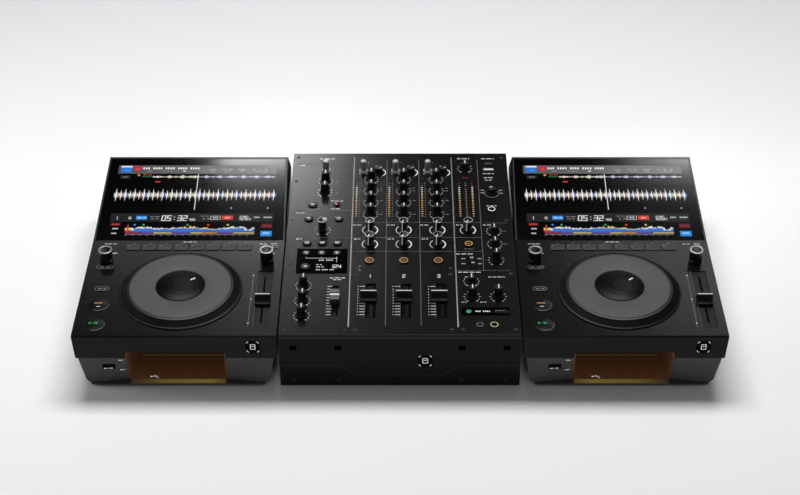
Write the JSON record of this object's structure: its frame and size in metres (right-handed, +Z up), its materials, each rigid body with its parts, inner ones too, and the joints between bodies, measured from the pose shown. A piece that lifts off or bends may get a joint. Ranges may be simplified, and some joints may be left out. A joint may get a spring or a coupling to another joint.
{
  "type": "dual disc player console with mixer",
  "caption": "Two slot-loading disc players with jog wheels and tilted screens, standing either side of a mixer with knobs, faders and level meters.",
  "frame": {"origin": "on the table, below the middle of the console", "axes": "+X to the right along the three units, +Y to the back, +Z up"},
  "size_m": [1.025, 0.507, 0.137],
  "materials": {
    "amber_button": "amber-lit ring on black",
    "amber_light": "amber diffuser",
    "black_knob": "black grip with a white pointer",
    "brass_plating": "gold-plated ring",
    "button_plastic": "dark grey satin keys",
    "casing": "fine satin black moulding",
    "circuit_board": "green circuit board",
    "display_glass": "black glossy glass",
    "fader_cap": "satin black cap with a silver line",
    "jog_grey": "satin grey plate, knurled rim",
    "meter_lens": "dark lens over small lamps",
    "panel": "fine satin dark grey",
    "plated_steel": "zinc-plated sheet steel",
    "rimmed_knob": "black grip, chromed rim",
    "rubber": "black rubber",
    "screw_steel": "blackened steel",
    "silver_knob": "satin silver",
    "smoked_plastic": "smoked amber-brown plastic",
    "socket_plastic": "black moulded sockets"
  },
  "bodies": {
    "root": {"bay_housings": "smoked_plastic", "bay_light_panels": "amber_light", "circuit_boards": "circuit_board", "disc_drives": "plated_steel", "headphone_jacks": "brass_plating", "jog_centre_displays": "display_glass", "left_deck_base": "casing", "left_deck_display": "display_glass", "left_deck_top_cover": "panel", "level_meters": "meter_lens", "mixer_chassis": "casing", "mixer_display": "display_glass", "mixer_top_panel": "panel", "panel_screws": "screw_steel", "rear_sockets": "socket_plastic", "right_deck_base": "casing", "right_deck_display": "display_glass", "right_deck_top_cover": "panel", "rubber_feet": "rubber", "tone_knobs": "black_knob", "trim_knobs": "silver_knob", "usb_sockets": "plated_steel"},
    "left_jog_wheel": {"left_jog_wheel": "jog_grey"},
    "left_tempo_fader": {"left_tempo_fader": "fader_cap"},
    "left_browse_knob": {"left_browse_knob": "rimmed_knob"},
    "left_loop_knob": {"left_loop_knob": "rimmed_knob"},
    "left_play_button": {"left_play_button": "button_plastic"},
    "left_cue_button": {"left_cue_button": "button_plastic"},
    "left_hot_cue_buttons": {"left_hot_cue_buttons": "button_plastic"},
    "left_mode_buttons": {"left_mode_buttons": "button_plastic"},
    "left_eject_button": {"left_eject_button": "button_plastic"},
    "right_jog_wheel": {"right_jog_wheel": "jog_grey"},
    "right_tempo_fader": {"right_tempo_fader": "fader_cap"},
    "right_browse_knob": {"right_browse_knob": "rimmed_knob"},
    "right_loop_knob": {"right_loop_knob": "rimmed_knob"},
    "right_play_button": {"right_play_button": "button_plastic"},
    "right_cue_button": {"right_cue_button": "button_plastic"},
    "right_hot_cue_buttons": {"right_hot_cue_buttons": "button_plastic"},
    "right_mode_buttons": {"right_mode_buttons": "button_plastic"},
    "right_eject_button": {"right_eject_button": "button_plastic"},
    "channel_fader_1": {"channel_fader_1": "fader_cap"},
    "channel_fader_2": {"channel_fader_2": "fader_cap"},
    "channel_fader_3": {"channel_fader_3": "fader_cap"},
    "mix_fader": {"mix_fader": "fader_cap"},
    "effect_filter_knob": {"effect_filter_knob": "rimmed_knob"},
    "master_filter_knob": {"master_filter_knob": "rimmed_knob"},
    "filter_knob_1": {"filter_knob_1": "rimmed_knob"},
    "colour_knob_1": {"colour_knob_1": "rimmed_knob"},
    "filter_knob_2": {"filter_knob_2": "rimmed_knob"},
    "colour_knob_2": {"colour_knob_2": "rimmed_knob"},
    "filter_knob_3": {"filter_knob_3": "rimmed_knob"},
    "colour_knob_3": {"colour_knob_3": "rimmed_knob"},
    "master_level_knob": {"master_level_knob": "black_knob"},
    "monitor_level_knob": {"monitor_level_knob": "black_knob"},
    "effect_time_knob": {"effect_time_knob": "black_knob"},
    "effect_tone_knob": {"effect_tone_knob": "black_knob"},
    "effect_depth_knob": {"effect_depth_knob": "black_knob"},
    "mixer_buttons": {"mixer_buttons": "button_plastic"},
    "cue_buttons": {"cue_buttons": "amber_button"},
    "toggle_switches": {"toggle_switches": "button_plastic"}
  },
  "joints": [
    {"name": "left_jog_spin", "type": "hinge", "parent": "root", "child": "left_jog_wheel", "pos_m": [-0.3525, -0.1399, 0.106], "axis": [0, 0, 1], "continuous": true},
    {"name": "left_tempo_slide", "type": "slide", "parent": "root", "child": "left_tempo_fader", "axis": [0, 1, 0], "range_m": [-0.05, 0.06]},
    {"name": "left_browse_turn", "type": "hinge", "parent": "root", "child": "left_browse_knob", "pos_m": [-0.219, -0.0595, 0.106], "axis": [0, 0, 1], "continuous": true},
    {"name": "left_loop_turn", "type": "hinge", "parent": "root", "child": "left_loop_knob", "pos_m": [-0.483, -0.0595, 0.106], "axis": [0, 0, 1], "continuous": true},
    {"name": "left_play_button_press", "type": "slide", "parent": "root", "child": "left_play_button", "axis": [0, 0, -1], "range_m": [0, 0.0012], "stiffness_N_per_m": 500, "springref_m": -0.002},
    {"name": "left_cue_button_press", "type": "slide", "parent": "root", "child": "left_cue_button", "axis": [0, 0, -1], "range_m": [0, 0.0012], "stiffness_N_per_m": 500, "springref_m": -0.002},
    {"name": "left_hot_cue_buttons_press", "type": "slide", "parent": "root", "child": "left_hot_cue_buttons", "axis": [0, 0, -1], "range_m": [0, 0.0012], "stiffness_N_per_m": 500, "springref_m": -0.002},
    {"name": "left_mode_buttons_press", "type": "slide", "parent": "root", "child": "left_mode_buttons", "axis": [0, 0, -1], "range_m": [0, 0.0012], "stiffness_N_per_m": 500, "springref_m": -0.002},
    {"name": "left_eject_press", "type": "slide", "parent": "root", "child": "left_eject_button", "axis": [0, 1, 0], "range_m": [0, 0.0012], "stiffness_N_per_m": 500, "springref_m": -0.002},
    {"name": "right_jog_spin", "type": "hinge", "parent": "root", "child": "right_jog_wheel", "pos_m": [0.3525, -0.1399, 0.106], "axis": [0, 0, 1], "continuous": true},
    {"name": "right_tempo_slide", "type": "slide", "parent": "root", "child": "right_tempo_fader", "axis": [0, 1, 0], "range_m": [-0.05, 0.06]},
    {"name": "right_browse_turn", "type": "hinge", "parent": "root", "child": "right_browse_knob", "pos_m": [0.486, -0.0595, 0.106], "axis": [0, 0, 1], "continuous": true},
    {"name": "right_loop_turn", "type": "hinge", "parent": "root", "child": "right_loop_knob", "pos_m": [0.222, -0.0595, 0.106], "axis": [0, 0, 1], "continuous": true},
    {"name": "right_play_button_press", "type": "slide", "parent": "root", "child": "right_play_button", "axis": [0, 0, -1], "range_m": [0, 0.0012], "stiffness_N_per_m": 500, "springref_m": -0.002},
    {"name": "right_cue_button_press", "type": "slide", "parent": "root", "child": "right_cue_button", "axis": [0, 0, -1], "range_m": [0, 0.0012], "stiffness_N_per_m": 500, "springref_m": -0.002},
    {"name": "right_hot_cue_buttons_press", "type": "slide", "parent": "root", "child": "right_hot_cue_buttons", "axis": [0, 0, -1], "range_m": [0, 0.0012], "stiffness_N_per_m": 500, "springref_m": -0.002},
    {"name": "right_mode_buttons_press", "type": "slide", "parent": "root", "child": "right_mode_buttons", "axis": [0, 0, -1], "range_m": [0, 0.0012], "stiffness_N_per_m": 500, "springref_m": -0.002},
    {"name": "right_eject_press", "type": "slide", "parent": "root", "child": "right_eject_button", "axis": [0, 1, 0], "range_m": [0, 0.0012], "stiffness_N_per_m": 500, "springref_m": -0.002},
    {"name": "channel_1_fader_slide", "type": "slide", "parent": "root", "child": "channel_fader_1", "axis": [0, 1, 0], "range_m": [-0.038, 0.022]},
    {"name": "channel_2_fader_slide", "type": "slide", "parent": "root", "child": "channel_fader_2", "axis": [0, 1, 0], "range_m": [-0.038, 0.022]},
    {"name": "channel_3_fader_slide", "type": "slide", "parent": "root", "child": "channel_fader_3", "axis": [0, 1, 0], "range_m": [-0.038, 0.022]},
    {"name": "mix_fader_slide", "type": "slide", "parent": "root", "child": "mix_fader", "axis": [0, 1, 0], "range_m": [-0.0269, 0.0211]},
    {"name": "effect_filter_turn", "type": "hinge", "parent": "root", "child": "effect_filter_knob", "pos_m": [-0.1305, 0.0235, 0.106], "axis": [0, 0, 1], "range_deg": [-150, 150]},
    {"name": "master_filter_turn", "type": "hinge", "parent": "root", "child": "master_filter_knob", "pos_m": [0.1145, 0.0235, 0.106], "axis": [0, 0, 1], "range_deg": [-150, 150]},
    {"name": "filter_1_turn", "type": "hinge", "parent": "root", "child": "filter_knob_1", "pos_m": [-0.0503, 0.0235, 0.106], "axis": [0, 0, 1], "range_deg": [-150, 150]},
    {"name": "colour_1_turn", "type": "hinge", "parent": "root", "child": "colour_knob_1", "pos_m": [-0.0503, -0.016, 0.106], "axis": [0, 0, 1], "range_deg": [-150, 150]},
    {"name": "filter_2_turn", "type": "hinge", "parent": "root", "child": "filter_knob_2", "pos_m": [0.0062, 0.0235, 0.106], "axis": [0, 0, 1], "range_deg": [-150, 150]},
    {"name": "colour_2_turn", "type": "hinge", "parent": "root", "child": "colour_knob_2", "pos_m": [0.0062, -0.016, 0.106], "axis": [0, 0, 1], "range_deg": [-150, 150]},
    {"name": "filter_3_turn", "type": "hinge", "parent": "root", "child": "filter_knob_3", "pos_m": [0.063, 0.0235, 0.106], "axis": [0, 0, 1], "range_deg": [-150, 150]},
    {"name": "colour_3_turn", "type": "hinge", "parent": "root", "child": "colour_knob_3", "pos_m": [0.063, -0.016, 0.106], "axis": [0, 0, 1], "range_deg": [-150, 150]},
    {"name": "master_level_turn", "type": "hinge", "parent": "root", "child": "master_level_knob", "pos_m": [0.1145, 0.2065, 0.106], "axis": [0, 0, 1], "range_deg": [-150, 150]},
    {"name": "monitor_level_turn", "type": "hinge", "parent": "root", "child": "monitor_level_knob", "pos_m": [0.1155, -0.155, 0.106], "axis": [0, 0, 1], "range_deg": [-150, 150]},
    {"name": "effect_time_turn", "type": "hinge", "parent": "root", "child": "effect_time_knob", "pos_m": [-0.1558, -0.1265, 0.106], "axis": [0, 0, 1], "range_deg": [-150, 150]},
    {"name": "effect_tone_turn", "type": "hinge", "parent": "root", "child": "effect_tone_knob", "pos_m": [-0.1558, -0.165, 0.106], "axis": [0, 0, 1], "range_deg": [-150, 150]},
    {"name": "effect_depth_turn", "type": "hinge", "parent": "root", "child": "effect_depth_knob", "pos_m": [-0.1558, -0.2025, 0.106], "axis": [0, 0, 1], "range_deg": [-150, 150]},
    {"name": "mixer_buttons_press", "type": "slide", "parent": "root", "child": "mixer_buttons", "axis": [0, 0, -1], "range_m": [0, 0.0012], "stiffness_N_per_m": 500, "springref_m": -0.002},
    {"name": "cue_buttons_press", "type": "slide", "parent": "root", "child": "cue_buttons", "axis": [0, 0, -1], "range_m": [0, 0.0012], "stiffness_N_per_m": 500, "springref_m": -0.002},
    {"name": "toggle_switches_slide", "type": "slide", "parent": "root", "child": "toggle_switches", "axis": [-1, 0, 0], "range_m": [0, 0.005]}
  ]
}
